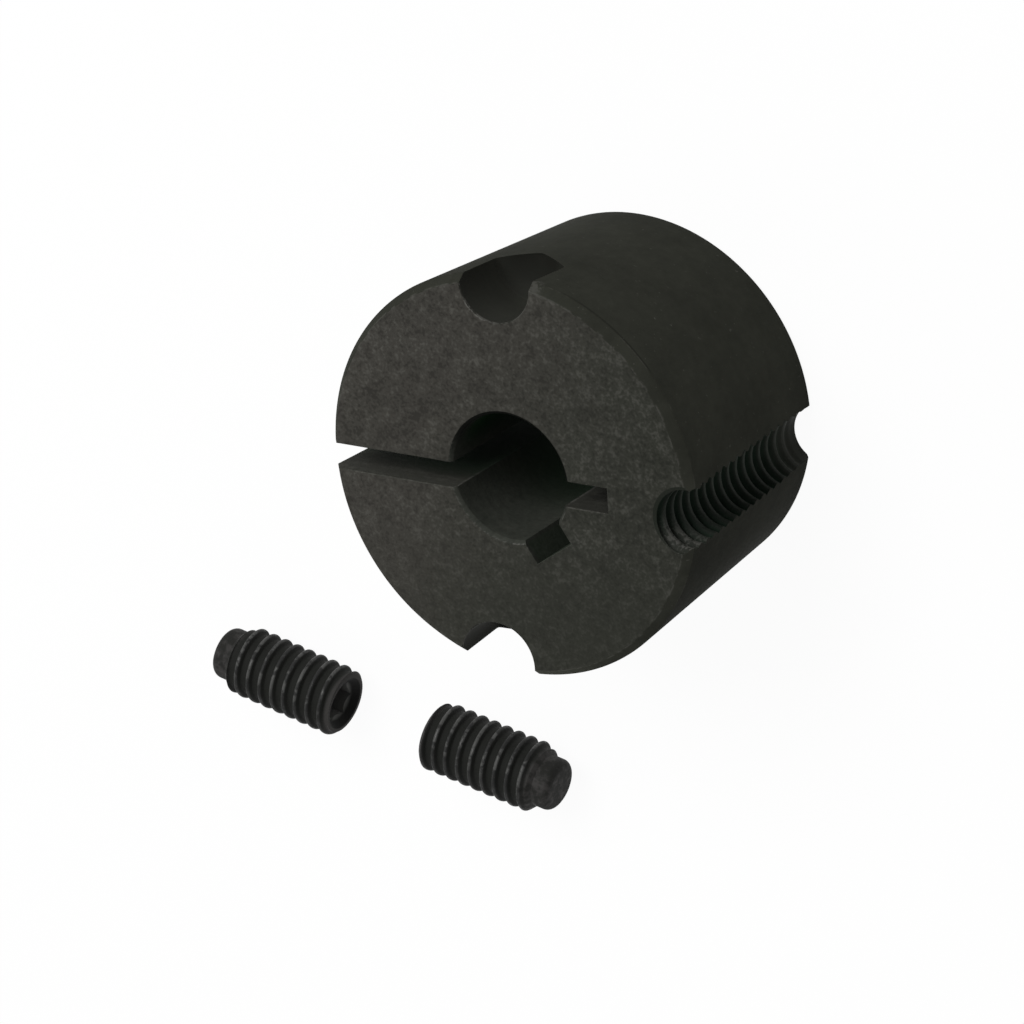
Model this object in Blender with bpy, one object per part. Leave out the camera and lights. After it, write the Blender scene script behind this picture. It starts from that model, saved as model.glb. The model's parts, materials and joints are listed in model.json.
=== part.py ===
"""Taper lock bushing standing on its small end, with its two socket set screws lying loose beside it."""
import math

import bmesh
import bpy
from mathutils import Matrix

# Lengths are in metres, angles in degrees.
# Split taper bushing
BUSH_LENGTH = 0.0223
LARGE_END_DIAMETER = 0.0352
TAPER_PER_SIDE = 4.0
LARGE_CHAMFER_HEIGHT = 0.00085
LARGE_CHAMFER_WIDTH = 0.0007
SMALL_CHAMFER = 0.00032
BUSH_FACETS = 96

# Bore, keyway and saw cut
BORE_DIAMETER = 0.011
BORE_CHAMFER = 0.00033
KEYWAY_WIDTH = 0.0041
KEYWAY_DEPTH = 0.0018
KEYWAY_ANGLE = -52.0
SAW_WIDTH = 0.0022
SAW_OFFSET = 0.00055
SAW_ANGLE = 184.1
RELIEF_DEPTH = 0.004

# Half holes around the rim: two plain ones that push, one threaded one that jacks the bushing out
HOLE_CIRCLE_INSET = 0.00075
PLAIN_HOLE_DEPTH = 0.0057
# Angle and diameter of each plain one, as the photograph shows them
PLAIN_HOLES = ((95.1, 0.0067), (-93.1, 0.0071))
DRILL_POINT_ANGLE = 118.0
THREADED_HOLE_ANGLE = 0.0
COUNTERSINK_WIDTH = 0.00045
HOLE_FACETS = 32

# Whitworth thread of the half hole and the screws
THREAD_DIAMETER = 0.00635
THREAD_PITCH = 0.00127
THREAD_FLANK_ANGLE = 27.5
DEPTH_IN_PITCHES = 0.64
CREST_IN_PITCHES = 0.17
THREAD_CLEARANCE = 0.00005
TAP_DRILL_OVERSIZE = 0.00038
THREAD_FACETS = 24

# Socket set screw with a round dog point
SCREW_LENGTH = 0.013
DOG_STEP = 0.0002
DOG_LENGTH = 0.0016
DOG_ROUNDING = 0.0007
ENTRY_ANGLE = 45.0
SOCKET_END_CHAMFER = 0.00038
SOCKET_IN_DIAMETERS = 0.5
SOCKET_DEPTH = 0.0033
SOCKET_MOUTH_WIDTH = 0.0002
SCREW_FACETS = 32

# Where each screw's dog point lies, measured from the bushing's axis, the way its socket end points,
# and how far it has rolled about its own axis
SCREW_PLACES = (
    ("set_screw_1", -0.0418, -0.0331, -8.9, -120.0),
    ("set_screw_2", -0.0065, -0.0375, 172.1, 90.0),
)

# How far cutters reach past the surface, and the distance under which points are one
OVERCUT = 0.001
SAME_POINT = 0.000001

# Edges that turn by more than this are shaded sharp
SHARP_ANGLE = 32.0


def tan(degrees):
    return math.tan(math.radians(degrees))


def core_diameter():
    """The screw's diameter at the bottom of its thread."""
    return THREAD_DIAMETER - 2.0 * THREAD_PITCH * DEPTH_IN_PITCHES


def make_material(name, color, roughness, metallic):
    material = bpy.data.materials.new(name)
    material.use_nodes = True
    shader = material.node_tree.nodes["Principled BSDF"]
    shader.inputs["Base Color"].default_value = (*color, 1.0)
    shader.inputs["Roughness"].default_value = roughness
    shader.inputs["Metallic"].default_value = metallic
    material.diffuse_color = (*color, 1.0)
    return material


def make_object(name, bm, turn=0.0):
    """Closes a bmesh into an object, turned about Z by the given angle."""
    bmesh.ops.recalc_face_normals(bm, faces=bm.faces)
    bmesh.ops.rotate(bm, verts=bm.verts, matrix=Matrix.Rotation(math.radians(turn), 3, "Z"))
    mesh = bpy.data.meshes.new(name)
    bm.to_mesh(mesh)
    bm.free()
    obj = bpy.data.objects.new(name, mesh)
    bpy.context.scene.collection.objects.link(obj)
    return obj


def sweep(bm, profile, facets, turns=1, rise=0.0, is_ring=False):
    """Turns a profile of (radius, height) pairs about Z, climbing by rise in each turn."""
    verts = [bm.verts.new((radius, 0.0, height)) for radius, height in profile]
    follow = verts[1:] + verts[:1] if is_ring else verts[1:]
    edges = [bm.edges.new(pair) for pair in zip(verts, follow)]
    bmesh.ops.spin(
        bm,
        geom=verts + edges,
        cent=(0.0, 0.0, 0.0),
        axis=(0.0, 0.0, 1.0),
        dvec=(0.0, 0.0, rise / facets),
        angle=math.tau * turns,
        steps=facets * turns,
    )
    bmesh.ops.remove_doubles(bm, verts=bm.verts, dist=SAME_POINT)


def turned(name, profile, facets, turn=0.0, away=0.0, is_ring=False):
    """A turned solid whose axis stands away from Z, towards the angle turn."""
    bm = bmesh.new()
    sweep(bm, profile, facets, is_ring=is_ring)
    bmesh.ops.translate(bm, verts=bm.verts, vec=(away, 0.0, 0.0))
    return make_object(name, bm, turn)


def threaded_rod(name, major, minor, bottom, top, away=0.0, turn=0.0):
    """A right-hand threaded rod that reaches past bottom and top, with pointed ends."""
    crest, root = major / 2.0, minor / 2.0
    flank = (crest - root) * tan(THREAD_FLANK_ANGLE)
    crest_flat = THREAD_PITCH * CREST_IN_PITCHES
    root_flat = THREAD_PITCH - crest_flat - 2.0 * flank
    start = bottom - 2.0 * THREAD_PITCH
    turns = math.ceil((top - start) / THREAD_PITCH) + 1
    profile = (
        (root, start),
        (root, start + root_flat),
        (crest, start + root_flat + flank),
        (crest, start + root_flat + flank + crest_flat),
        (root, start + THREAD_PITCH),
    )
    bm = bmesh.new()
    sweep(bm, profile, THREAD_FACETS, turns, THREAD_PITCH)
    end = start + turns * THREAD_PITCH
    rim = [edge for edge in bm.edges if edge.is_boundary]
    for point, is_mine in ((start - THREAD_PITCH, False), (end + 2.0 * THREAD_PITCH, True)):
        loop = [edge for edge in rim if (edge.verts[0].co.z > (start + end) / 2.0) is is_mine]
        made = bmesh.ops.extrude_edge_only(bm, edges=loop)["geom"]
        tip = [item for item in made if isinstance(item, bmesh.types.BMVert)]
        bmesh.ops.pointmerge(bm, verts=tip, merge_co=(0.0, 0.0, point))
    bmesh.ops.translate(bm, verts=bm.verts, vec=(away, 0.0, 0.0))
    return make_object(name, bm, turn)


def block(name, near, far, middle, width, bottom, top, turn):
    """A box from near to far along the angle turn, set off sideways by middle."""
    bm = bmesh.new()
    bmesh.ops.create_cube(bm, size=1.0)
    bmesh.ops.scale(bm, verts=bm.verts, vec=(far - near, width, top - bottom))
    centre = ((near + far) / 2.0, middle, (bottom + top) / 2.0)
    bmesh.ops.translate(bm, verts=bm.verts, vec=centre)
    return make_object(name, bm, turn)


def combine(target, tool, operation="DIFFERENCE"):
    """Adds a Boolean on target that uses the tool."""
    modifier = target.modifiers.new(tool.name, "BOOLEAN")
    modifier.operation = operation
    modifier.solver = "EXACT"
    modifier.object = tool
    tool.parent = target


def finished_mesh(obj, name):
    """Applies the Booleans, shades the result smooth between its edges and clears the tools away."""
    evaluated = obj.evaluated_get(bpy.context.evaluated_depsgraph_get())
    mesh = bpy.data.meshes.new_from_object(evaluated)
    mesh.name = name
    mesh.shade_smooth()
    mesh.set_sharp_from_angle(angle=math.radians(SHARP_ANGLE))
    for leftover in [*obj.children, obj]:
        bpy.data.objects.remove(leftover)
    return mesh


def make_bushing_mesh(material):
    """Cuts the bushing along Z, small end down, and returns its finished mesh."""
    large = LARGE_END_DIAMETER / 2.0
    small = large - BUSH_LENGTH * tan(TAPER_PER_SIDE)
    shoulder = large - LARGE_CHAMFER_HEIGHT * tan(TAPER_PER_SIDE)
    ankle = small + SMALL_CHAMFER * tan(TAPER_PER_SIDE)
    bore = BORE_DIAMETER / 2.0
    outline = (
        (bore, BORE_CHAMFER),
        (bore + BORE_CHAMFER, 0.0),
        (small - SMALL_CHAMFER, 0.0),
        (ankle, SMALL_CHAMFER),
        (shoulder, BUSH_LENGTH - LARGE_CHAMFER_HEIGHT),
        (large - LARGE_CHAMFER_WIDTH, BUSH_LENGTH),
        (bore + BORE_CHAMFER, BUSH_LENGTH),
        (bore, BUSH_LENGTH - BORE_CHAMFER),
    )
    bushing = turned("bushing_blank", outline, BUSH_FACETS, is_ring=True)
    bushing.data.materials.append(material)
    below = -OVERCUT
    above = BUSH_LENGTH + OVERCUT

    floor = bore + KEYWAY_DEPTH
    combine(bushing, block("keyway_cutter", 0.0, floor, 0.0, KEYWAY_WIDTH, below, above, KEYWAY_ANGLE))
    blind = -(bore + RELIEF_DEPTH)
    outside = large + OVERCUT
    combine(bushing, block("saw_cutter", blind, outside, SAW_OFFSET, SAW_WIDTH, below, above, SAW_ANGLE))

    away = large - HOLE_CIRCLE_INSET
    shelf = BUSH_LENGTH - PLAIN_HOLE_DEPTH
    for number, (angle, diameter) in enumerate(PLAIN_HOLES, 1):
        plain = diameter / 2.0
        tip = shelf - plain / tan(DRILL_POINT_ANGLE / 2.0)
        plain_outline = ((0.0, tip), (plain, shelf), (plain, above), (0.0, above))
        drill = turned(f"plain_hole_cutter_{number}", plain_outline, HOLE_FACETS, angle, away)
        combine(bushing, drill)

    tapped = THREAD_DIAMETER + 2.0 * THREAD_CLEARANCE
    drilled = core_diameter() + TAP_DRILL_OVERSIZE
    tap = threaded_rod("tap_cutter", tapped, drilled, 0.0, BUSH_LENGTH, away, THREADED_HOLE_ANGLE)
    combine(bushing, tap)
    mouth = drilled / 2.0 + COUNTERSINK_WIDTH
    sink_outline = (
        (0.0, BUSH_LENGTH - mouth),
        (mouth + OVERCUT, above),
        (0.0, above),
    )
    combine(bushing, turned("countersink_cutter", sink_outline, HOLE_FACETS, THREADED_HOLE_ANGLE, away))
    return finished_mesh(bushing, "bushing")


def make_screw_mesh(material):
    """Cuts one set screw along Z, dog point down, and returns its finished mesh."""
    core = core_diameter()
    rod = threaded_rod("screw_blank", THREAD_DIAMETER, core, 0.0, SCREW_LENGTH)
    rod.data.materials.append(material)
    dog = core / 2.0 - DOG_STEP
    end = THREAD_DIAMETER / 2.0 - SOCKET_END_CHAMFER
    wide = THREAD_DIAMETER / 2.0 + OVERCUT
    steps = 4
    rounded = [
        (
            dog - DOG_ROUNDING * (1.0 - math.sin(math.pi / 2.0 * step / steps)),
            DOG_ROUNDING * (1.0 - math.cos(math.pi / 2.0 * step / steps)),
        )
        for step in range(steps + 1)
    ]
    outline = (
        (0.0, 0.0),
        *rounded,
        (dog, DOG_LENGTH),
        (wide, DOG_LENGTH + (wide - dog) * tan(ENTRY_ANGLE)),
        (wide, SCREW_LENGTH - (wide - end) * tan(ENTRY_ANGLE)),
        (end, SCREW_LENGTH),
        (0.0, SCREW_LENGTH),
    )
    envelope = turned("screw_envelope", outline, SCREW_FACETS)
    combine(rod, envelope, "INTERSECT")

    corner = THREAD_DIAMETER * SOCKET_IN_DIAMETERS / 2.0 / math.cos(math.pi / 6.0)
    floor = SCREW_LENGTH - SOCKET_DEPTH
    above = SCREW_LENGTH + OVERCUT
    hexagon = (
        (0.0, floor - corner / tan(DRILL_POINT_ANGLE / 2.0)),
        (corner, floor),
        (corner, above),
        (0.0, above),
    )
    combine(rod, turned("socket_cutter", hexagon, 6))
    mouth = corner + SOCKET_MOUTH_WIDTH
    cone = (
        (0.0, SCREW_LENGTH - mouth),
        (mouth + OVERCUT, above),
        (0.0, above),
    )
    combine(rod, turned("socket_mouth_cutter", cone, SCREW_FACETS))

    mesh = finished_mesh(rod, "set_screw")
    # The finished screw lies along its own X axis, its socket end towards +X.
    mesh.transform(Matrix.Rotation(math.pi / 2.0, 4, "Y"))
    return mesh


def place(name, mesh, root, location=(0.0, 0.0, 0.0), heading=0.0, roll=0.0):
    obj = bpy.data.objects.new(name, mesh)
    bpy.context.scene.collection.objects.link(obj)
    obj.location = location
    obj.rotation_euler = (math.radians(roll), 0.0, math.radians(heading))
    obj.parent = root
    return obj


def centre_on_floor(root, parts):
    """Shifts the root so that the whole set's box stands centred on the origin."""
    bpy.context.view_layer.update()
    points = [part.matrix_world @ vert.co for part in parts for vert in part.data.vertices]
    for axis in range(2):
        values = [point[axis] for point in points]
        root.location[axis] = -(min(values) + max(values)) / 2.0


def main():
    for obj in list(bpy.data.objects):
        bpy.data.objects.remove(obj, do_unlink=True)
    iron = make_material("black_iron", (0.038, 0.037, 0.034), 0.62, 0.35)
    steel = make_material("black_steel", (0.022, 0.022, 0.023), 0.45, 0.55)

    root = bpy.data.objects.new("layout", None)
    bpy.context.scene.collection.objects.link(root)
    parts = [place("bushing", make_bushing_mesh(iron), root)]
    screw_mesh = make_screw_mesh(steel)
    for name, x, y, heading, roll in SCREW_PLACES:
        # Each screw rests on its thread crests.
        parts.append(place(name, screw_mesh, root, (x, y, THREAD_DIAMETER / 2.0), heading, roll))
    centre_on_floor(root, parts)


main()
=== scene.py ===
import json
import math

import bmesh
import bpy
from mathutils import Matrix, Vector, noise

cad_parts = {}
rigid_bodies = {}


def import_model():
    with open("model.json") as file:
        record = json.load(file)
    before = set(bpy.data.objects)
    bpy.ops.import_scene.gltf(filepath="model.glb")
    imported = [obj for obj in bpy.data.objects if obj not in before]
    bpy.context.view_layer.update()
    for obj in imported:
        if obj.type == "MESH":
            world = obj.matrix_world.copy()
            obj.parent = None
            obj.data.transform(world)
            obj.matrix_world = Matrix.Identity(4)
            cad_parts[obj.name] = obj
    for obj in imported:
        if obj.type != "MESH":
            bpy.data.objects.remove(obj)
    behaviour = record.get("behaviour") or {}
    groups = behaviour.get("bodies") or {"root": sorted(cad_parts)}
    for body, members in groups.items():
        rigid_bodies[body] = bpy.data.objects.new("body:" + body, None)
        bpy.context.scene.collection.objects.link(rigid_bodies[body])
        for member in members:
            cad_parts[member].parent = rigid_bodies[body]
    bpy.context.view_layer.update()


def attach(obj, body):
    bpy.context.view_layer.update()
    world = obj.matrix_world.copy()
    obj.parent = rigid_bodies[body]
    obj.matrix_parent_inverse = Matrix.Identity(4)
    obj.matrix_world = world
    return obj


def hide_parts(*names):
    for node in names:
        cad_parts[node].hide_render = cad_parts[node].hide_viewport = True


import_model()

millimetre = 0.001
mergeDistance = 1e-7
upAxis = Vector((0.0, 0.0, 1.0))
origin = (0.0, 0.0, 0.0)


def tangent(degrees):
    return math.tan(math.radians(degrees))


def spinProfile(points, steps, isRing=False, rise=0.0):
    # turns (radius, height) points once about Z, climbing by rise
    shape = bmesh.new()
    corners = [shape.verts.new((radius, 0.0, height)) for radius, height in points]
    following = corners[1:] + corners[:1] if isRing else corners[1:]
    lines = [shape.edges.new(pair) for pair in zip(corners, following)]
    bmesh.ops.spin(
        shape, geom=corners + lines, cent=origin, axis=upAxis, dvec=(0.0, 0.0, rise / steps),
        angle=math.tau, steps=steps, use_merge=rise == 0.0)
    bmesh.ops.remove_doubles(shape, verts=shape.verts, dist=mergeDistance)
    return shape


def roundRings(shape, radius, minimumTurn=15.0, segments=3):
    # rounds the rings where a turned shape changes direction
    bmesh.ops.recalc_face_normals(shape, faces=shape.faces)
    sharp = [
        edge for edge in shape.edges
        if len(edge.link_faces) == 2
        and math.degrees(edge.calc_face_angle()) > minimumTurn
        and abs(edge.verts[0].co.z - edge.verts[1].co.z) < mergeDistance]
    bmesh.ops.bevel(
        shape, geom=sharp, offset=radius, offset_type="OFFSET", affect="EDGES", segments=segments,
        profile=0.5, material=-1, clamp_overlap=True)


def makePiece(name, shape, material):
    bmesh.ops.recalc_face_normals(shape, faces=shape.faces)
    mesh = bpy.data.meshes.new(name)
    shape.to_mesh(mesh)
    shape.free()
    mesh.materials.append(material)
    piece = bpy.data.objects.new(name, mesh)
    bpy.context.scene.collection.objects.link(piece)
    return piece


def turnAndShift(shape, degrees=0.0, shift=origin):
    # shifts first, then turns about Z
    turn = Matrix.Rotation(math.radians(degrees), 3, "Z")
    bmesh.ops.translate(shape, verts=shape.verts, vec=shift)
    bmesh.ops.rotate(shape, verts=shape.verts, cent=origin, matrix=turn)


def slotBlock(near, far, middle, width, bottom, faceHeight, flare, over):
    # a box from near to far along X whose top opens out by a small flare at the face
    shape = bmesh.new()
    bmesh.ops.create_cube(shape, size=1.0)
    top = faceHeight - flare
    centre = ((near + far) / 2.0, middle, (bottom + top) / 2.0)
    bmesh.ops.scale(shape, verts=shape.verts, vec=(far - near, width, top - bottom))
    bmesh.ops.translate(shape, verts=shape.verts, vec=centre)
    lid = [face for face in shape.faces if face.normal.z > 0.9]
    made = bmesh.ops.extrude_face_region(shape, geom=lid)["geom"]
    bmesh.ops.delete(shape, geom=lid, context="FACES_ONLY")
    rim = [item for item in made if isinstance(item, bmesh.types.BMVert)]
    reach = flare + over
    bmesh.ops.translate(shape, verts=rim, vec=(0.0, 0.0, reach))
    widen = ((far - near + 2.0 * reach) / (far - near), (width + 2.0 * reach) / width, 1.0)
    toMiddle = Matrix.Translation((-centre[0], -centre[1], 0.0))
    bmesh.ops.scale(shape, verts=rim, vec=widen, space=toMiddle)
    return shape


def threadProfile(major, minor, pitch, start, crestFlat, flankAngle, rounding, arcSteps):
    # one pitch of a thread with rounded crests and roots, as (radius, height) points
    crest, root = major / 2.0, minor / 2.0
    flank = (crest - root) * tangent(flankAngle)
    rootFlat = pitch - crestFlat - 2.0 * flank
    corners = [
        (root, 0.0), (root, rootFlat),
        (crest, rootFlat + flank), (crest, rootFlat + flank + crestFlat)]
    points = []
    for index, place in enumerate(corners):
        corner = Vector(place)
        before = Vector(corners[index - 1] if index else (crest, corners[3][1] - pitch))
        after = Vector(corners[index + 1] if index < 3 else (root, pitch))
        first = corner + (before - corner).normalized() * rounding
        last = corner + (after - corner).normalized() * rounding
        for step in range(arcSteps + 1):
            share = step / arcSteps
            point = first * (1 - share) ** 2 + corner * 2 * share * (1 - share) + last * share ** 2
            points.append((point.x, start + point.y))
    points.append((points[0][0], points[0][1] + pitch))
    return points


def threadedRod(points, pitch, bottom, top, steps):
    # a right-hand thread that reaches past both ends, closed by two points on its axis
    turns = math.ceil((top - bottom) / pitch) + 4
    shape = spinProfile(points, steps, rise=pitch)
    oneTurn = shape.verts[:] + shape.edges[:] + shape.faces[:]
    for turn in range(1, turns):
        made = bmesh.ops.duplicate(shape, geom=oneTurn)["geom"]
        copied = [item for item in made if isinstance(item, bmesh.types.BMVert)]
        bmesh.ops.translate(shape, verts=copied, vec=(0.0, 0.0, pitch * turn))
    bmesh.ops.remove_doubles(shape, verts=shape.verts, dist=mergeDistance)
    middle = (bottom + top) / 2.0
    rim = [edge for edge in shape.edges if edge.is_boundary]
    for height, isUpper in ((bottom - 4.0 * pitch, False), (top + 5.0 * pitch, True)):
        loop = [edge for edge in rim if (edge.verts[0].co.z > middle) is isUpper]
        made = bmesh.ops.extrude_edge_only(shape, edges=loop)["geom"]
        tip = [item for item in made if isinstance(item, bmesh.types.BMVert)]
        bmesh.ops.pointmerge(shape, verts=tip, merge_co=(0.0, 0.0, height))
    return shape


def cut(target, tool, operation="DIFFERENCE"):
    modifier = target.modifiers.new(tool.name, "BOOLEAN")
    modifier.operation = operation
    modifier.solver = "EXACT"
    modifier.material_mode = "TRANSFER"
    modifier.object = tool
    tool.parent = target


def finishCuts(target, name, shadeAngle):
    # applies the cuts, clears the tools away and shades the piece smooth between its edges
    evaluated = target.evaluated_get(bpy.context.evaluated_depsgraph_get())
    mesh = bpy.data.meshes.new_from_object(evaluated)
    mesh.name = name
    for leftover in [*target.children, target]:
        bpy.data.objects.remove(leftover)
    shape = bmesh.new()
    shape.from_mesh(mesh)
    bmesh.ops.remove_doubles(shape, verts=shape.verts, dist=2.0 * mergeDistance)
    bmesh.ops.dissolve_degenerate(shape, edges=shape.edges, dist=mergeDistance)
    bmesh.ops.recalc_face_normals(shape, faces=shape.faces)
    bmesh.ops.triangulate(shape, faces=[face for face in shape.faces if len(face.verts) > 4])
    shape.to_mesh(mesh)
    shape.free()
    mesh.shade_smooth()
    mesh.set_sharp_from_angle(angle=math.radians(shadeAngle))
    piece = bpy.data.objects.new(name, mesh)
    bpy.context.scene.collection.objects.link(piece)
    return piece


class Wire:
    # one output of a node, so that masks are added and multiplied as plain sums
    def __init__(self, finish, output):
        self.finish = finish
        self.output = output

    def join(self, operation, first, second):
        return self.finish.node("Math", {"operation": operation}, {0: first, 1: second})

    def __add__(self, other):
        return self.join("ADD", self, other)

    def __radd__(self, other):
        return self.join("ADD", other, self)

    def __sub__(self, other):
        return self.join("SUBTRACT", self, other)

    def __rsub__(self, other):
        return self.join("SUBTRACT", other, self)

    def __mul__(self, other):
        return self.join("MULTIPLY", self, other)

    def __rmul__(self, other):
        return self.join("MULTIPLY", other, self)

    def __pow__(self, other):
        return self.join("POWER", self, other)

    def __rpow__(self, other):
        return self.join("POWER", other, self)

    def __abs__(self):
        return self.join("ABSOLUTE", self, 0.0)


class Finish:
    # one material, its nodes and its coordinates in millimetres
    def __init__(self, name, roughness, metallic, specular):
        self.material = bpy.data.materials.new(name)
        self.material.use_nodes = True
        self.nodes = self.material.node_tree.nodes
        self.links = self.material.node_tree.links
        self.shader = self.nodes["Principled BSDF"]
        self.shader.inputs["Roughness"].default_value = roughness
        self.shader.inputs["Metallic"].default_value = metallic
        self.shader.inputs["Specular IOR Level"].default_value = specular

    def node(self, kind, settings=None, values=None, output=0):
        # a node by its type, its settings, and the values or wires of its sockets
        made = self.nodes.new("ShaderNode" + kind)
        for key, value in (settings or {}).items():
            setattr(made, key, value)
        for key, value in (values or {}).items():
            if isinstance(value, Wire):
                self.links.new(value.output, made.inputs[key])
            else:
                made.inputs[key].default_value = value
        return Wire(self, made.outputs[output])

    def place(self, centre=origin, turn=0.0):
        # Object coordinates in millimetres, from a centre in metres and turned back about Z
        return self.node("Mapping", {"vector_type": "TEXTURE"}, {
            "Vector": self.node("TexCoord", output="Object"), "Location": centre,
            "Rotation": (0.0, 0.0, math.radians(turn)),
            "Scale": (millimetre, millimetre, millimetre)})

    def parts(self, vector):
        split = self.node("SeparateXYZ", values={0: vector})
        outputs = split.output.node.outputs
        return [Wire(self, outputs[index]) for index in range(3)]

    def shift(self, vector, offset):
        return self.node("VectorMath", {"operation": "ADD"}, {0: vector, 1: offset})

    def stretch(self, vector, scale):
        return self.node("VectorMath", {"operation": "MULTIPLY"}, {0: vector, 1: scale})

    def length(self, first, second):
        return (first * first + second * second) ** 0.5

    def grain(self, vector, size, detail=3.0, roughness=0.6, distortion=0.0):
        # noise whose blobs are about size millimetres wide, around 0.5
        return self.node("TexNoise", values={
            "Vector": vector, "Scale": 0.5 / size, "Detail": detail, "Roughness": roughness,
            "Distortion": distortion})

    def fade(self, value, start, end):
        # 0 before start, 1 past end, smooth between them; start may be the larger
        return self.node("MapRange", {"interpolation_type": "SMOOTHSTEP"}, {
            0: value, 1: start, 2: end, 3: 0.0, 4: 1.0})

    def band(self, value, centre, width):
        # 1 at the centre, fading to 0 at width to either side
        return self.fade(abs(value - centre), width, 0.0)

    def blend(self, share, first, second):
        # sockets 6 and 7 are a Mix node's two colours
        colors = {}
        for key, color in ((6, first), (7, second)):
            colors[key] = color if isinstance(color, Wire) else (*color, 1.0)
        return self.node("Mix", {"data_type": "RGBA"}, {0: share, **colors}, output=2)

    def scaleColor(self, color, factor):
        tone = self.node("CombineColor", values={0: factor, 1: factor, 2: factor})
        settings = {"data_type": "RGBA", "blend_type": "MULTIPLY", "clamp_result": False}
        return self.node("Mix", settings, {0: 1.0, 6: color, 7: tone}, output=2)

    def setColor(self, color):
        self.links.new(color.output, self.shader.inputs["Base Color"])

    def setRoughness(self, value):
        self.links.new(value.output, self.shader.inputs["Roughness"])

    def setBump(self, height, distance, strength):
        bumped = self.node("Bump", values={
            "Strength": strength, "Distance": distance, "Height": height})
        self.links.new(bumped.output, self.shader.inputs["Normal"])


# metres and degrees, with the axis standing at axisPlace and angles counted from +X
bushing = {
    "axisPlace": (0.0123338, 0.0113837, 0.0),
    "length": 0.0223,
    "largeEndDiameter": 0.0352,
    "taperPerSide": 4.0,
    "largeChamferHeight": 0.00085,
    "largeChamferWidth": 0.0007,
    "smallChamfer": 0.00032,
    "boreDiameter": 0.011,
    "boreChamfer": 0.00033,
    "keywayWidth": 0.0041,
    "keywayDepth": 0.0018,
    "keywayAngle": -52.0,
    "sawWidth": 0.0022,
    "sawOffset": 0.00055,
    "sawAngle": 184.1,
    "reliefDepth": 0.004,
    "holeCircleInset": 0.00075,
    "plainHoleDepth": 0.0057,
    "plainHoles": ((95.1, 0.0067), (-93.1, 0.0071)),  # angle, diameter
    "drillPointAngle": 118.0,
    "drillShoulderBelow": 0.0003,  # the rounded shoulder between a hole's wall and its point
    "drillShoulderIn": 0.00006,
    "drillShoulderUp": 0.00002,
    "drillShoulderTop": 0.00025,
    "countersinkWidth": 0.00045,
    "tapLead": 0.0050,
    "tapLeadEnd": 0.0008,
    "grooveRunOut": 0.0015,  # depth under the taper at which a groove is whole
    "grooveLeast": 0.42,  # shares of the thread's depth
    "grooveDepth": 0.85,
    "wearBase": 0.94,
    "wearAmount": 0.28,
    "wearSize": 0.0007,
    "edgeRounding": 0.00007,
    "mouthFlare": 0.00008,
    "rimSteps": 240,
    "holeSteps": 72,
    "threadSteps": 56,
    "shadeAngle": 34.0,
    "faceColor": (0.0365, 0.0346, 0.0294),
    "shadedFaceColor": (0.0236, 0.0246, 0.0192),
    "fleckColor": (0.088, 0.087, 0.077),
    "taperColor": (0.0270, 0.0280, 0.0225),
    "boreColor": (0.0292, 0.0318, 0.0266),
    "boreShadeGreenColor": (0.0100, 0.0310, 0.0120),
    "pocketColor": (0.0205, 0.0210, 0.0175),
    "sawnColor": (0.0420, 0.0422, 0.0360),
    "slitDeepColor": (0.040, 0.060, 0.041),
    "slitFarColor": (0.0165, 0.0320, 0.0175),
    "rootColor": (0.0205, 0.0335, 0.0235),
    "ridgeColor": (0.0325, 0.0390, 0.0320),
    "wornColor": (0.100, 0.098, 0.090),
}

# shared by the tapped half hole and both screws
thread = {
    "diameter": 0.00635,
    "pitch": 0.00127,
    "flankAngle": 27.5,
    "depthInPitches": 0.64,
    "crestInPitches": 0.17,
    "rounding": 0.00010,
    "arcSteps": 3,
    "clearance": 0.00005,
    "tapDrillOversize": 0.00038,
}
coreDiameter = thread["diameter"] - 2.0 * thread["pitch"] * thread["depthInPitches"]
beyond = 0.001  # how far cutters reach past the surface
holeCircle = bushing["largeEndDiameter"] / 2.0 - bushing["holeCircleInset"]
tappedCentre = Vector(bushing["axisPlace"]) + Vector((holeCircle, 0.0, 0.0))

# the same sizes in millimetres, where masks begin and end: heights, then distances from the axis
lengthMm = bushing["length"] / millimetre
chamferMm = lengthMm - bushing["largeChamferHeight"] / millimetre
shelfMm = lengthMm - bushing["plainHoleDepth"] / millimetre
rimMm = (bushing["largeEndDiameter"] / 2.0 - bushing["largeChamferWidth"]) / millimetre
boreMm = bushing["boreDiameter"] / 2.0 / millimetre
reliefMm = boreMm + bushing["reliefDepth"] / millimetre
pocketAngle = math.radians(bushing["plainHoles"][0][0])
pocketMm = bushing["plainHoles"][0][1] / 2.0 / millimetre
pocketX = holeCircle / millimetre * math.cos(pocketAngle)
pocketY = holeCircle / millimetre * math.sin(pocketAngle)


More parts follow.
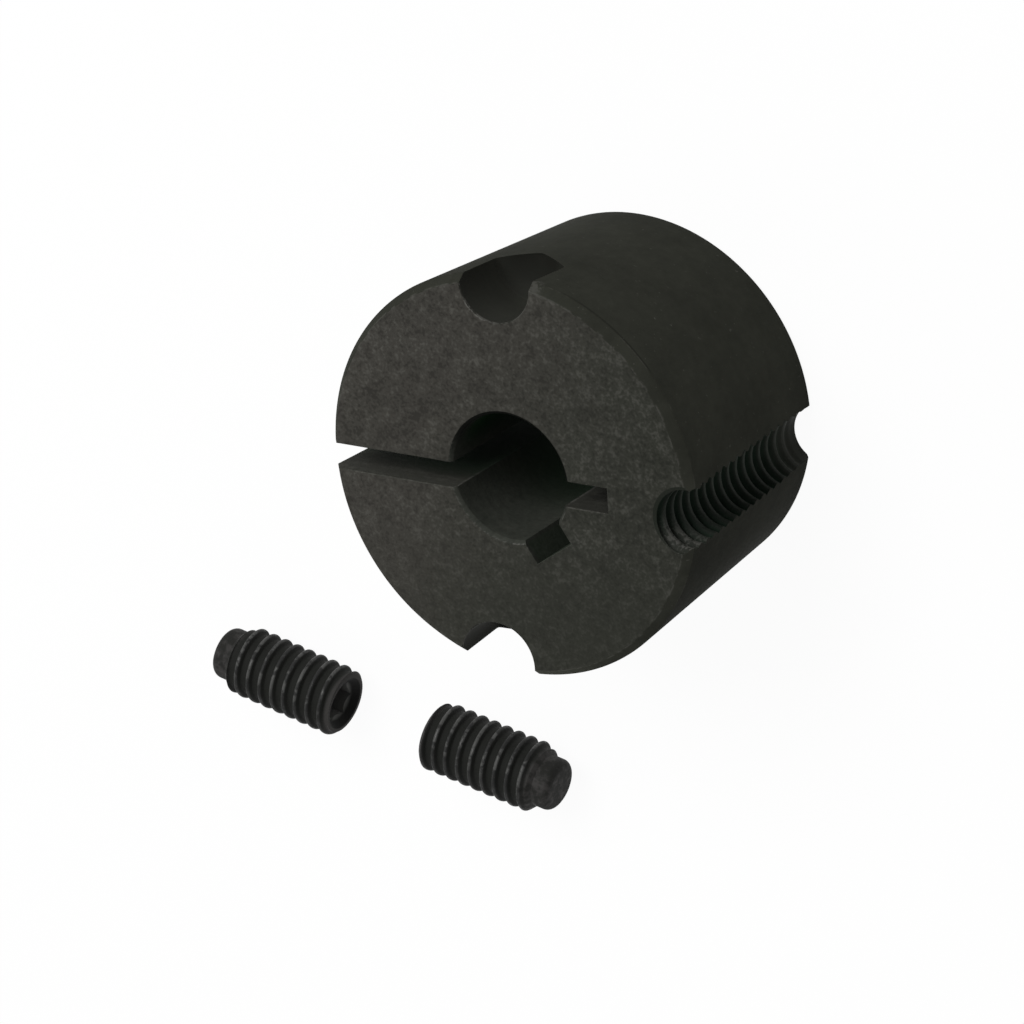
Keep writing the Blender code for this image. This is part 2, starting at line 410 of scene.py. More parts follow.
def makeFaceFinish():
    # black phosphate on the turned end faces: soft light flecks and dark pits over blotches
    finish = Finish("phosphatedFace", 0.66, 0.0, 0.1)
    spot = finish.place(bushing["axisPlace"])
    x, y, _ = finish.parts(spot)
    radius = finish.length(x, y)
    fine = finish.grain(spot, 0.13, 1.0, 0.5)
    worms = finish.grain(spot, 0.32, 2.0, 0.6, 0.4)
    coarse = finish.grain(spot, 0.6, 2.0, 0.5)
    blotch = finish.grain(spot, 1.4, 3.0, 0.55)
    broad = finish.grain(spot, 5.0, 2.0, 0.5)

    # painted shade: the face darker towards its lower right, away from the light, and painted light
    # on its left side; also where the face is calmer or smoother
    dusk = x * 0.85 - y * 0.45 + (broad - 0.5) * 9.0 + (blotch - 0.5) * 5.0
    dusk = finish.fade(dusk, -10.0, 8.0)
    rightSide = finish.fade(x + broad * 6.0, -4.0, 14.0)
    litLeftSide = finish.fade(y, 13.0, 1.0) * finish.fade(x, 3.0, -6.0)
    calm = 1.0 - finish.fade(y, -1.0, -12.0) * 0.45 - rightSide * 0.20
    smoothZone = finish.fade(finish.length(x + 11.0, y - 2.0), 7.5, 3.5)

    speckle = worms + (fine - 0.5) * 0.70 + (coarse - 0.5) * 0.45 + (blotch - 0.5) * 0.45
    speckle = speckle + rightSide * 0.02 - smoothZone * 0.06
    flecks = finish.fade(speckle, 0.46, 0.88)
    pits = finish.fade(speckle, 0.46, 0.24)
    # painted shade blended in towards the lower right
    color = finish.blend(dusk, bushing["faceColor"], bushing["shadedFaceColor"])
    color = finish.blend(flecks * calm * 0.46, color, bushing["fleckColor"])
    # the left side lighter: painted light
    tone = 0.745 + litLeftSide * 0.05 + blotch * 0.34 + fine * 0.13 - pits * calm * 0.28
    color = finish.scaleColor(color, tone)

    # a rubbed line along the rim, and a burr round one side of the first plain half hole
    rimLine = finish.fade(radius, rimMm - 0.3, rimMm - 0.05)
    rimLine = rimLine * finish.fade(blotch + (worms - 0.5) * 0.8, 0.42, 0.68)
    burr = finish.band(finish.length(x - pocketX, y - pocketY), pocketMm + 0.12, 0.15)
    burr = burr * finish.fade(x - y, pocketX - pocketY + 4.2, pocketX - pocketY + 2.6)
    burr = burr * finish.fade(y, pocketY - 0.6, pocketY - 1.8)
    burr = burr * finish.fade(worms + (fine - 0.5) * 0.8 + (coarse - 0.5) * 0.8, 0.42, 0.60)
    color = finish.blend(rimLine * 0.12 + burr * 0.75, color, bushing["wornColor"])

    finish.setColor(color)
    finish.setRoughness(0.62 + flecks * 0.12 + pits * 0.1)
    rings = finish.node("Math", {"operation": "SINE"}, {0: radius * 42.0 + blotch * 3.0})
    finish.setBump(worms * 0.6 + fine * 0.3 + rings * 0.02, 0.00006, 0.7)
    return finish.material


def makeTaperFinish():
    # the ground taper and its chamfer: smoother and darker, with soft clouds and a few dots
    finish = Finish("phosphatedTaper", 0.70, 0.0, 0.008)
    spot = finish.place(bushing["axisPlace"])
    x, y, z = finish.parts(spot)
    fine = finish.grain(spot, 0.14, 1.0, 0.5)
    mottle = finish.grain(spot, 0.45, 3.0, 0.6)
    cloud = finish.grain(spot, 2.2, 3.0, 0.55)
    broad = finish.grain(spot, 6.0, 2.0, 0.5)
    turningMarks = finish.grain(finish.stretch(spot, (0.25, 0.25, 9.0)), 1.0, 2.0, 0.6)
    strokes = finish.grain(finish.stretch(spot, (3.0, 3.0, 0.5)), 1.0, 3.0, 0.6)
    dots = finish.grain(spot, 0.24, 2.0, 0.6)

    flecks = finish.fade(dots + (fine - 0.5) * 0.5, 0.70, 0.86)
    color = finish.blend(flecks * 0.45, bushing["taperColor"], bushing["fleckColor"])
    # painted shade on the lower side towards +x, and painted light in a band along the top
    shadedUnderside = finish.fade(y, 1.0, -6.0) * finish.fade(x, 4.0, 12.0)
    tone = 0.22 + cloud * 0.52 + broad * 0.44 + mottle * 0.34 + strokes * 0.12
    tone = tone - shadedUnderside * 0.26 + finish.band(y, 8.5, 8.5) * 0.15
    color = finish.scaleColor(color, tone)

    # painted light: the chamfer is lighter on its lower side, which faces away from the light, with
    # a painted shade line below it
    chamfer = finish.fade(z, chamferMm - 0.05, chamferMm + 0.05)
    shadeLine = finish.band(z, chamferMm - 0.15, 0.20)
    shadeLine = shadeLine * finish.fade(broad + (cloud - 0.5) * 0.6, 0.46, 0.60)
    chamferLitBelow = finish.fade(y, 9.0, -8.0)
    tone = 1.0 + chamfer * (cloud * 0.20 + chamferLitBelow * 0.95 - 0.10) - shadeLine * 0.35
    color = finish.scaleColor(color, tone)

    # worn: the chamfer's two edges, and a chip beside the first plain half hole
    hairline = finish.band(z, chamferMm - 0.01, 0.09)
    hairline = hairline * finish.fade(cloud + (mottle - 0.5) * 0.6, 0.46, 0.62)
    faceLine = finish.band(z, lengthMm - 0.03, 0.12)
    faceLine = faceLine * finish.fade(mottle + (cloud - 0.5) * 0.5, 0.44, 0.60)
    fromChip = finish.length(x - pocketX - 3.6, y - pocketY - 0.1)
    chip = finish.fade(finish.length(fromChip, z - lengthMm + 0.7), 1.2, 0.4)
    chip = chip * finish.fade(mottle + (fine - 0.5) * 0.8, 0.38, 0.62)
    worn = hairline * 0.20 + faceLine * 0.34 + chip * 0.35
    color = finish.blend(worn, color, bushing["wornColor"])

    finish.setColor(color)
    finish.setRoughness(0.62 + cloud * 0.12 + flecks * 0.1)
    finish.setBump(fine * 0.2 + mottle * 0.3 + turningMarks * 0.2, 0.00005, 0.7)
    return finish.material


def makeBoreFinish():
    # bored and broached walls: mottled, with turned rings and a burred lip on the keyway's side
    finish = Finish("phosphatedBore", 0.62, 0.0, 0.02)
    spot = finish.place(bushing["axisPlace"])
    x, y, z = finish.parts(spot)
    radius = finish.length(x, y)
    fine = finish.grain(spot, 0.13, 1.0, 0.5)
    mottle = finish.grain(spot, 0.35, 3.0, 0.65)
    cloud = finish.grain(spot, 1.8, 3.0, 0.55)
    rings = finish.grain(finish.stretch(spot, (0.2, 0.2, 8.0)), 1.0, 2.0, 0.6)
    scratches = finish.grain(finish.stretch(spot, (4.0, 0.8, 0.8)), 1.0, 2.0, 0.5)

    # painted light and shade: lighter on the lower side, where the light falls, darker inwards and
    # on the upper side, and greener there
    lowerSide = finish.fade(y + x * 0.25, 2.0, -1.5)
    deep = finish.fade(z, lengthMm - 5.0, lengthMm - 16.0)
    upperDeep = finish.fade(z, lengthMm - 0.2, lengthMm - 3.5) * (1.0 - lowerSide)
    inKeyway = finish.fade(radius, boreMm + 0.15, boreMm + 0.40)
    inKeyway = inKeyway * finish.fade(z, lengthMm - 0.3, lengthMm - 0.6)
    lit = (0.50 + lowerSide * 0.85) * (1.0 - deep * 0.40) * (1.0 + inKeyway * 0.12)
    green = deep * 0.6 + (1.0 - deep * 0.6) * (upperDeep * 0.92 + inKeyway * 0.26)
    clouds = finish.fade(cloud, 0.3, 0.75) * 0.4
    color = finish.blend(clouds, bushing["boreColor"], bushing["sawnColor"])
    color = finish.scaleColor(color, (0.29 + rings * 0.22 + mottle * 0.80 + fine * 0.30) * lit)
    color = finish.blend(green, color, bushing["boreShadeGreenColor"])

    lip = finish.fade(z, lengthMm - 0.40, lengthMm - 0.26)
    lip = lip * finish.fade(radius, boreMm + 0.9, boreMm + 0.5)
    # painted shade: the bore's chamfer darker on its upper side, which faces away from the light
    color = finish.scaleColor(color, 1.0 - lip * (1.0 - lowerSide) * 0.55 - lip * lowerSide * 0.12)
    nearKeyway = finish.fade(finish.length(x - 1.3, y + 5.6), 1.9, 0.4)
    burr = lip * lowerSide * finish.fade(z, lengthMm - 0.16, lengthMm - 0.05)
    burr = burr * finish.fade(mottle + (fine - 0.5) * 1.2 + nearKeyway * 0.12, 0.46, 0.64)
    worn = burr * (0.40 + nearKeyway * 0.35)
    worn = worn + finish.fade(scratches, 0.66, 0.74) * lowerSide * 0.12
    color = finish.blend(worn, color, bushing["wornColor"])

    finish.setColor(color)
    finish.setRoughness(0.56 + cloud * 0.15)
    finish.setBump(rings * 0.3 + mottle * 0.5 + fine * 0.2, 0.00006, 0.7)
    return finish.material


def makeSawnFinish():
    # saw cut and relief slot: soft strokes across the walls, with painted shade further down
    finish = Finish("sawnWall", 0.66, 0.0, 0.015)
    spot = finish.place(bushing["axisPlace"], bushing["sawAngle"])
    x, y, z = finish.parts(spot)
    depth = lengthMm - z
    stroke = finish.grain(finish.stretch(spot, (0.5, 1.0, 2.6)), 1.0, 3.0, 0.6)
    fine = finish.grain(spot, 0.13, 1.0, 0.5)
    mottle = finish.grain(spot, 0.4, 3.0, 0.6)
    cloud = finish.grain(spot, 1.6, 2.0, 0.5)

    # the saw cut lies on the side of +x here, the relief slot on the other
    slitSide = finish.fade(x, -1.0, 1.0)
    slitInner = slitSide * finish.fade(x, 15.0, 9.0)
    # painted shade: darker with depth in the saw cut and in the relief slot's corner, dark green
    # far down the cut; greener part way down
    slitShade = finish.fade(depth + (cloud - 0.5) * 2.0, 0.2, 3.6) * 0.36
    slitDeep = finish.fade(depth, 1.5, 6.0) * (slitInner * 0.8 + slitSide * 0.2)
    slitFar = finish.fade(depth, 5.0, 17.0)
    cornerShade = finish.fade(x, 1.6 - reliefMm, 0.4 - reliefMm)
    cornerShade = cornerShade * finish.fade(depth, 0.1, 1.1) * 0.14
    streaks = finish.fade(stroke + (mottle - 0.5) * 0.5, 0.45, 0.80)
    color = finish.blend(streaks * 0.30, bushing["sawnColor"], bushing["fleckColor"])
    shaded = (1.0 - slitShade * slitSide) * (1.0 - cornerShade)
    color = finish.scaleColor(color, (0.80 + fine * 0.16 + mottle * 0.30) * shaded)
    color = finish.blend(slitDeep, color, bushing["slitDeepColor"])
    color = finish.scaleColor(color, 0.79 + slitSide * (0.23 - slitFar * 0.45))
    color = finish.blend(slitFar * slitInner, color, bushing["slitFarColor"])

    # pale where the cut meets the bore, and along the face
    meeting = finish.band(finish.length(x, y), boreMm + 0.10, 0.22)
    meeting = meeting * finish.fade(depth, 9.0, 0.5)
    meeting = meeting * finish.fade(mottle + (fine - 0.5) * 0.5, 0.34, 0.52)
    lip = finish.fade(z, lengthMm - 0.16, lengthMm - 0.06)
    lip = lip * finish.fade(fine + (mottle - 0.5), 0.45, 0.65)
    color = finish.blend(lip * 0.30 + meeting * 0.60, color, bushing["wornColor"])

    finish.setColor(color)
    finish.setRoughness(0.58 + stroke * 0.14)
    finish.setBump(stroke * 0.6 + fine * 0.3 + mottle * 0.3, 0.00007, 0.8)
    return finish.material


def makePocketFinish():
    # the plain half holes: drilled, evenly dark down to the drill point, a little worn at the mouth
    finish = Finish("drilledPocket", 0.60, 0.0, 0.03)
    spot = finish.place(bushing["axisPlace"])
    _, _, z = finish.parts(spot)
    fine = finish.grain(spot, 0.12, 2.0, 0.6)
    cloud = finish.grain(spot, 1.3, 3.0, 0.55)
    rings = finish.grain(finish.stretch(spot, (0.2, 0.2, 6.0)), 1.0, 2.0, 0.6)

    clouds = finish.fade(cloud, 0.35, 0.8) * 0.3
    color = finish.blend(clouds, bushing["pocketColor"], bushing["taperColor"])
    # painted light along the crease where the wall meets the drill point, against its shade, and
    # painted shade deeper in the drill point
    crease = finish.fade(z, shelfMm + 1.7, shelfMm + 0.2)
    point = finish.fade(z, shelfMm + 0.1, shelfMm - 0.1)
    pointStart = point * finish.fade(z, shelfMm - 1.0, shelfMm - 0.2)
    tone = 1.0 + crease * 0.20 * (1.0 - point) - point * 0.42 + pointStart * 0.22
    color = finish.scaleColor(color, (0.90 + rings * 0.18 + fine * 0.15) * tone)
    lip = finish.fade(z, lengthMm - 0.20, lengthMm - 0.06)
    lip = lip * finish.fade(fine + (cloud - 0.5) * 0.8, 0.38, 0.55)
    color = finish.blend(lip * 0.45, color, bushing["wornColor"])

    finish.setColor(color)
    finish.setRoughness(0.56 + cloud * 0.1)
    finish.setBump(rings * 0.3 + fine * 0.25, 0.00005, 0.6)
    return finish.material


def makeTappedFinish():
    # the tapped half hole: faint greenish crests between nearly black flanks, with painted shade,
    # rubbed at the mouth
    finish = Finish("tappedThread", 0.60, 0.0, 0.04)
    spot = finish.place(tappedCentre)
    x, y, z = finish.parts(spot)
    radius = finish.length(x, y)
    innerMm = (coreDiameter + thread["tapDrillOversize"]) / 2.0 / millimetre
    fine = finish.grain(spot, 0.12, 1.0, 0.5)
    mottle = finish.grain(spot, 0.35, 3.0, 0.6)

    ridge = finish.fade(radius + (fine - 0.5) * 0.06, innerMm + 0.24, innerMm + 0.04)
    lowerWall = finish.fade(y, 0.5, -2.4)
    nearMouthShade = finish.fade(z, lengthMm - 4.5, lengthMm - 1.5) * (1.0 - lowerWall)
    farEnd = finish.fade(z, 6.0, 1.0)
    color = finish.blend(ridge, bushing["rootColor"], bushing["ridgeColor"])
    # painted shade: the lower wall darker, and the upper wall darker near the mouth
    shaded = (1.0 - lowerWall * 0.50) * (1.0 - nearMouthShade * 0.30)
    color = finish.scaleColor(color, (0.75 + mottle * 0.35 + fine * 0.15) * shaded)
    color = finish.blend(farEnd * 0.8, color, bushing["taperColor"])

    mouth = finish.fade(z - y * 0.9, lengthMm - 2.2, lengthMm + 1.0) * lowerWall
    rubbed = mouth * finish.fade(mottle * 0.5 + fine * 0.6 + ridge * 0.12, 0.56, 0.70)
    lip = finish.fade(z, lengthMm - 0.7, lengthMm - 0.4)
    color = finish.blend(mouth * 0.65, color, bushing["pocketColor"])
    color = finish.blend(rubbed * 0.44 + mouth * 0.04, color, bushing["wornColor"])
    color = finish.blend(lip * (0.7 - lowerWall * 0.4), color, bushing["taperColor"])

    finish.setColor(color)
    finish.setRoughness(0.50 + mottle * 0.12)
    finish.setBump(fine * 0.4 + mottle * 0.4, 0.00005, 0.7)
    return finish.material


def fadeTap(shape, inner):
    # the lead leaves shallow threads at the far end, and worn grooves run out at the taper
    large, taper = bushing["largeEndDiameter"] / 2.0, tangent(bushing["taperPerSide"])
    least, most = bushing["grooveLeast"], bushing["grooveDepth"]
    for corner in shape.verts:
        place = corner.co
        radius = math.hypot(place.x, place.y)
        if radius <= inner:
            continue
        lead = min(max((place.z - bushing["tapLeadEnd"]) / bushing["tapLead"], 0.0), 1.0)
        surface = large - (bushing["length"] - place.z) * taper
        cover = (surface - math.hypot(place.x + holeCircle, place.y)) / bushing["grooveRunOut"]
        share = lead * (least + (most - least) * min(max(cover, 0.0), 1.0))
        wear = noise.noise(place / bushing["wearSize"])
        share *= bushing["wearBase"] + bushing["wearAmount"] * wear
        fresh = inner + (radius - inner) * share
        place.x *= fresh / radius
        place.y *= fresh / radius


def makeBushing():
    large = bushing["largeEndDiameter"] / 2.0
    length = bushing["length"]
    taper = tangent(bushing["taperPerSide"])
    small = large - length * taper
    bore = bushing["boreDiameter"] / 2.0
    boreMouth = bore + bushing["boreChamfer"]
    foot = bushing["smallChamfer"]
    steps = bushing["holeSteps"]
    flare = bushing["mouthFlare"]
    above = length + beyond

    faceFinish = makeFaceFinish()
    taperFinish = makeTaperFinish()
    boreFinish = makeBoreFinish()
    sawnFinish = makeSawnFinish()
    pocketFinish = makePocketFinish()
    tappedFinish = makeTappedFinish()

    outline = (
        (bore, bushing["boreChamfer"]),
        (boreMouth, 0.0),
        (small - foot, 0.0),
        (small + foot * taper, foot),
        (large - bushing["largeChamferHeight"] * taper, length - bushing["largeChamferHeight"]),
        (large - bushing["largeChamferWidth"], length),
        (boreMouth, length),
        (bore, length - bushing["boreChamfer"]),
    )
    shape = spinProfile(outline, bushing["rimSteps"], isRing=True)
    roundRings(shape, bushing["edgeRounding"])
    blank = makePiece("bushingBlank", shape, faceFinish)
    blank.data.materials.append(taperFinish)
    blank.data.materials.append(boreFinish)
    boreLimit = bore + bushing["boreChamfer"] * 0.97  # inside it a face belongs to the bore
    endLimit = 0.93  # a face that points up or down by more than this belongs to an end
    for face in blank.data.polygons:
        radius = math.hypot(face.center.x, face.center.y)
        if radius < boreLimit:
            face.material_index = 2
        elif abs(face.normal.z) < endLimit and radius > bore * 2.0:
            face.material_index = 1

    shape = slotBlock(
        0.0, bore + bushing["keywayDepth"], 0.0, bushing["keywayWidth"], -beyond, length,
        flare * 0.4, beyond)
    turnAndShift(shape, bushing["keywayAngle"])
    cut(blank, makePiece("keywayTool", shape, boreFinish))
    shape = slotBlock(
        -(bore + bushing["reliefDepth"]), large + 2.0 * beyond, bushing["sawOffset"],
        bushing["sawWidth"], -beyond, length, flare, beyond)
    turnAndShift(shape, bushing["sawAngle"])
    cut(blank, makePiece("sawTool", shape, sawnFinish))

    shelf = length - bushing["plainHoleDepth"]
    slope = tangent(bushing["drillPointAngle"] / 2.0)
    below = bushing["drillShoulderBelow"]
    for number, (angle, diameter) in enumerate(bushing["plainHoles"], 1):
        plain = diameter / 2.0
        drill = (
            (0.0, shelf - plain / slope),
            (plain - below, shelf - below / slope),
            (plain - bushing["drillShoulderIn"], shelf + bushing["drillShoulderUp"]),
            (plain, shelf + bushing["drillShoulderTop"]),
            (plain, length - flare),
            (plain + flare + beyond, above),
            (0.0, above),
        )
        shape = spinProfile(drill, steps)
        turnAndShift(shape, angle, (holeCircle, 0.0, 0.0))
        cut(blank, makePiece(f"plainHoleTool{number}", shape, pocketFinish))

    pitch = thread["pitch"]
    drilled = coreDiameter + thread["tapDrillOversize"]
    tapped = thread["diameter"] + 2.0 * thread["clearance"]
    points = threadProfile(
        tapped, drilled, pitch, -2.0 * pitch, pitch * thread["crestInPitches"],
        thread["flankAngle"], thread["rounding"], thread["arcSteps"])
    shape = threadedRod(points, pitch, 0.0, length, bushing["threadSteps"])
    fadeTap(shape, drilled / 2.0)
    turnAndShift(shape, 0.0, (holeCircle, 0.0, 0.0))
    cut(blank, makePiece("tapTool", shape, tappedFinish))
    mouth = drilled / 2.0 + bushing["countersinkWidth"]
    shape = spinProfile(((0.0, length - mouth), (mouth + beyond, above), (0.0, above)), steps)
    turnAndShift(shape, 0.0, (holeCircle, 0.0, 0.0))
    cut(blank, makePiece("countersinkTool", shape, tappedFinish))

    piece = finishCuts(blank, "bushingBody", bushing["shadeAngle"])
    piece.data.transform(Matrix.Translation(bushing["axisPlace"]))
    return piece


bushingBody = makeBushing()
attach(bushingBody, "root")
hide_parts("bushing")


setScrew = {
    "length": 0.013,
    "coreOversize": 0.00075,
    "crestInPitches": 0.19,
    "threadRounding": 0.00011,
    "dogLength": 0.0016,
    "dogRounding": 0.0007,
    "dogRoundingSteps": 8,
    "entryAngle": 45.0,
    "socketEndChamfer": 0.00038,
    "socketEndRounding": 0.00006,
    "socketEndInset": 0.00004,
    "socketInDiameters": 0.5,
    "socketDepth": 0.0033,
    "socketMouthWidth": 0.0006,
    "rimSteps": 72,
    "threadSteps": 64,
    "shadeAngle": 40.0,
    "rootColor": (0.0100, 0.0107, 0.0090),
    "crestColor": (0.0195, 0.0198, 0.0190),
    "crestGlintColor": (0.115, 0.115, 0.110),
    "dogColor": (0.0440, 0.0415, 0.0400),
    "socketLightColor": (0.105, 0.105, 0.10),
    # dog point's place on the floor, the way its socket end points, and its roll
    "places": {
        "set_screw_1": ((-0.0294662, -0.0217163), -8.9, -120.0),
        "set_screw_2": ((0.0058338, -0.0261163), 172.1, 90.0),
    },
}


def makeScrewFinish(name, tip, heading):
    # black oxide steel: dark roots, painted highlights on the crests along the upper side, a
    # mottled dog point
    finish = Finish(name, 0.45, 0.1, 0.20)
    spot = finish.place((*tip, thread["diameter"] / 2.0), heading)
    x, y, z = finish.parts(spot)  # x runs from the dog point to the socket end
    radius = finish.length(y, z)
    aside = finish.shift(spot, (13.7, 5.3, 9.1))  # the noise's layers meet in a star at its middle
    fine = finish.grain(aside, 0.10, 1.0, 0.5)
    mottle = finish.grain(aside, 0.30, 3.0, 0.6)
    cloud = finish.grain(aside, 0.9, 3.0, 0.6)
    crestMm = thread["diameter"] / 2.0 / millimetre
    endMm = setScrew["length"] / millimetre
    dogMm = setScrew["dogLength"] / millimetre
    mouthMm = 2.36  # just inside the edge of the socket's mouth

    crest = finish.fade(radius + (mottle - 0.5) * 0.10, crestMm - 0.195, crestMm - 0.045)
    sideways = math.copysign(0.69, math.cos(math.radians(heading)))
    litUpperSide = finish.fade(y * sideways + z * 0.72, 1.7, 2.9)
    # painted highlight: glints on the crests, bright along the upper side where the light catches
    # them, faint all round
    rubbed = finish.fade(radius, crestMm - 0.145, crestMm - 0.035)
    rubbed = rubbed * finish.fade(cloud + (mottle - 0.5) * 0.9, 0.44, 0.60)
    color = finish.blend(crest, setScrew["rootColor"], setScrew["crestColor"])
    color = finish.blend(rubbed * (0.08 + litUpperSide * 0.40), color, setScrew["crestGlintColor"])
    dog = finish.fade(x, dogMm + 0.9, dogMm + 0.3)
    patches = finish.fade(mottle * 0.6 + cloud * 0.7 - fine * 0.2, 0.48, 0.72)
    color = finish.blend(dog * (0.15 + patches * 0.62), color, setScrew["dogColor"])

    # painted light on the socket end's chamfer, which faces away from the light
    socketEnd = finish.fade(x, endMm - 0.6, endMm - 0.3)
    socketEnd = socketEnd * finish.fade(radius, mouthMm, mouthMm + 0.12)
    color = finish.blend(socketEnd * 0.7, color, setScrew["dogColor"])
    # painted shade on the socket's mouth cone
    mouthConeShade = finish.fade(x, endMm - 0.8, endMm - 0.5)
    mouthConeShade = mouthConeShade * finish.fade(radius, mouthMm + 0.08, mouthMm)
    tone = (0.70 + cloud * 0.40 + fine * 0.2) * (1.0 - mouthConeShade * 0.6)
    color = finish.scaleColor(color, tone)
    # painted light inside the socket, against its shade
    inside = finish.fade(x, endMm - 4.0, endMm - 3.9) * finish.fade(x, endMm - 0.5, endMm - 0.8)
    inside = inside * finish.fade(radius, mouthMm - 0.26, mouthMm - 0.41)
    color = finish.blend(inside, color, setScrew["socketLightColor"])

    finish.setColor(color)
    smooth = finish.fade(mottle, 0.45, 0.70) * (crest + dog * 0.6)
    finish.setRoughness(0.80 - crest * 0.22 - smooth * 0.22)
    finish.setBump(fine * 0.3 + mottle * 0.7, 0.00004, 0.7)
    return finish.material


def makeScrew(name, tip, heading, roll):
    number = name[-1]
    material = makeScrewFinish(f"blackOxide{number}", tip, heading)
    pitch = thread["pitch"]
    crest = thread["diameter"] / 2.0
    length = setScrew["length"]
    above = length + beyond
    steps = setScrew["rimSteps"]
    points = threadProfile(
        thread["diameter"], coreDiameter + setScrew["coreOversize"], pitch, -2.0 * pitch,
        pitch * setScrew["crestInPitches"], thread["flankAngle"], setScrew["threadRounding"],
        thread["arcSteps"])
    shape = threadedRod(points, pitch, 0.0, length, setScrew["threadSteps"])
    rod = makePiece(f"rod{number}", shape, material)

    # the envelope leaves the dog point, the thread's run-in and the chamfered socket end
    dog = coreDiameter / 2.0
    end = crest - setScrew["socketEndChamfer"]
    wide = crest + beyond
    entry = tangent(setScrew["entryAngle"])
    rounding = setScrew["dogRounding"]
    outline = [(0.0, 0.0)]
    for step in range(setScrew["dogRoundingSteps"] + 1):
        turn = math.pi / 2.0 * step / setScrew["dogRoundingSteps"]
        outline.append((
            dog - rounding * (1.0 - math.sin(turn)), rounding * (1.0 - math.cos(turn))))
    outline += [
        (dog, setScrew["dogLength"]),
        (wide, setScrew["dogLength"] + (wide - dog) * entry),
        (wide, length - (wide - end) * entry),
        (end + setScrew["socketEndRounding"], length - setScrew["socketEndRounding"]),
        (end - setScrew["socketEndInset"], length),
        (0.0, length),
    ]
    envelope = makePiece(f"envelope{number}", spinProfile(outline, steps), material)
    cut(rod, envelope, "INTERSECT")

    corner = thread["diameter"] * setScrew["socketInDiameters"] / 2.0 / math.cos(math.pi / 6.0)
    floor = length - setScrew["socketDepth"]
    tipDepth = corner / tangent(bushing["drillPointAngle"] / 2.0)
    hexagon = ((0.0, floor - tipDepth), (corner, floor), (corner, above), (0.0, above))
    cut(rod, makePiece(f"socket{number}", spinProfile(hexagon, 6), material))
    mouth = corner + setScrew["socketMouthWidth"]
    cone = ((0.0, length - mouth), (mouth + beyond, above), (0.0, above))
    cut(rod, makePiece(f"socketMouth{number}", spinProfile(cone, steps), material))

    piece = finishCuts(rod, f"{name}_body", setScrew["shadeAngle"])
    lying = Matrix.Rotation(math.pi / 2.0, 4, "Y")
    rolled = Matrix.Rotation(math.radians(roll), 4, "X")
    headed = Matrix.Rotation(math.radians(heading), 4, "Z")
    placed = Matrix.Translation((*tip, crest))
    piece.data.transform(placed @ headed @ rolled @ lying)
    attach(piece, "root")
    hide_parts(name)


for screwName, (tipPlace, screwHeading, screwRoll) in setScrew["places"].items():
    makeScrew(screwName, tipPlace, screwHeading, screwRoll)


studio = {
    "floorSize": 0.9,
    "floorColor": (0.90, 0.90, 0.895),
    "floorGlow": 0.95,
    "worldStrength": 0.25,
    "lamps": (
        # name, place, aim, size, watts
        ("overheadLamp", (-0.15, 0.42, 0.62), (0.0, 0.0, 0.01), 0.45, 5.0),
        ("fillLamp", (-0.55, -0.25, 0.45), (0.0, 0.0, 0.01), 0.5, 1.07),
        ("frontLamp", (0.12, -0.60, 0.12), (0.0, 0.0, 0.01), 0.4, 0.9),
    ),
    # the photograph's view, rolled so that the bushing leans with its face to the lower left
    "lens": 228.516,
    "sensorWidth": 36.0,
    "nearAndFar": (0.01, 10.0),
    "cameraPlace": (0.27301242, 0.21953960, 0.43843773),
    "cameraRight": (0.84714012, 0.00296182, -0.53136131),
    "cameraUp": (-0.21221752, 0.91865777, -0.33321409),
    "cameraBack": (0.48715228, 0.39504321, 0.77886040),
}
white = (1.0, 1.0, 1.0, 1.0)


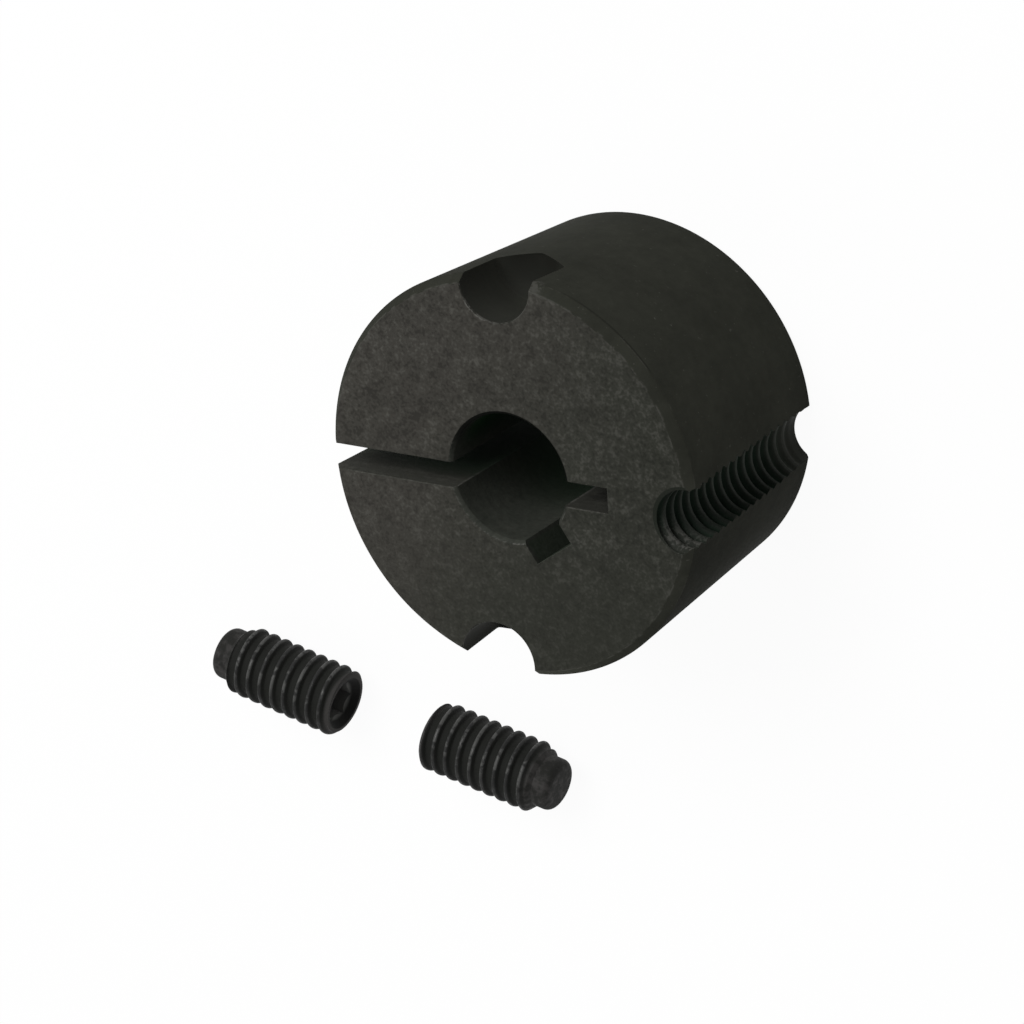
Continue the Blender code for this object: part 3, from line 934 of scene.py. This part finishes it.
def makeFloor():
    # pale and softly shaded, but nearly white to the camera and in reflections
    shape = bmesh.new()
    bmesh.ops.create_grid(shape, x_segments=8, y_segments=8, size=studio["floorSize"] / 2.0)
    finish = Finish("paleFloor", 0.8, 0.0, 0.1)
    finish.shader.inputs["Base Color"].default_value = (*studio["floorColor"], 1.0)
    ray = finish.nodes.new("ShaderNodeLightPath")
    seen = Wire(finish, ray.outputs["Is Camera Ray"]) + Wire(finish, ray.outputs["Is Glossy Ray"])
    seen = seen + Wire(finish, ray.outputs["Is Transmission Ray"])
    mixed = finish.node("MixShader", values={
        0: finish.node("Clamp", values={0: seen}) * studio["floorGlow"],
        1: Wire(finish, finish.shader.outputs[0]),
        2: finish.node("Emission", values={"Color": white, "Strength": 1.0})})
    finish.links.new(mixed.output, finish.nodes["Material Output"].inputs["Surface"])
    floor = makePiece("floor", shape, finish.material)


def makeWorld():
    # white to the camera, dimmer as a light
    world = bpy.data.worlds.new("studioWorld")
    bpy.context.scene.world = world
    world.use_nodes = True
    nodes, links = world.node_tree.nodes, world.node_tree.links
    lighting, backdrop = nodes["Background"], nodes.new("ShaderNodeBackground")
    for background, strength in ((lighting, studio["worldStrength"]), (backdrop, 1.0)):
        background.inputs["Color"].default_value = white
        background.inputs["Strength"].default_value = strength
    ray = nodes.new("ShaderNodeLightPath")
    mixed = nodes.new("ShaderNodeMixShader")
    links.new(ray.outputs["Is Camera Ray"], mixed.inputs[0])
    links.new(lighting.outputs[0], mixed.inputs[1])
    links.new(backdrop.outputs[0], mixed.inputs[2])
    links.new(mixed.outputs[0], nodes["World Output"].inputs["Surface"])


def makeLamp(name, place, aim, size, watts):
    lamp = bpy.data.lights.new(name, "AREA")
    lamp.shape = "SQUARE"
    lamp.size = size
    lamp.energy = watts
    lampObject = bpy.data.objects.new(name, lamp)
    bpy.context.scene.collection.objects.link(lampObject)
    lampObject.location = place
    away = Vector(aim) - Vector(place)
    lampObject.rotation_euler = away.to_track_quat("-Z", "Y").to_euler()


def makeCamera():
    camera = bpy.data.cameras.new("photoCamera")
    camera.sensor_width = studio["sensorWidth"]
    camera.lens = studio["lens"]
    camera.clip_start, camera.clip_end = studio["nearAndFar"]
    cameraObject = bpy.data.objects.new("photoCamera", camera)
    bpy.context.scene.collection.objects.link(cameraObject)
    axes = [Vector(studio[key]) for key in ("cameraRight", "cameraUp", "cameraBack")]
    turned = Matrix(axes).transposed().to_4x4()
    cameraObject.matrix_world = Matrix.Translation(studio["cameraPlace"]) @ turned
    bpy.context.scene.camera = cameraObject


makeFloor()
makeWorld()
for lampName, lampPlace, lampAim, lampSize, lampWatts in studio["lamps"]:
    makeLamp(lampName, lampPlace, lampAim, lampSize, lampWatts)
makeCamera()
bpy.context.scene.view_settings.view_transform = "Standard"
print("studio made")
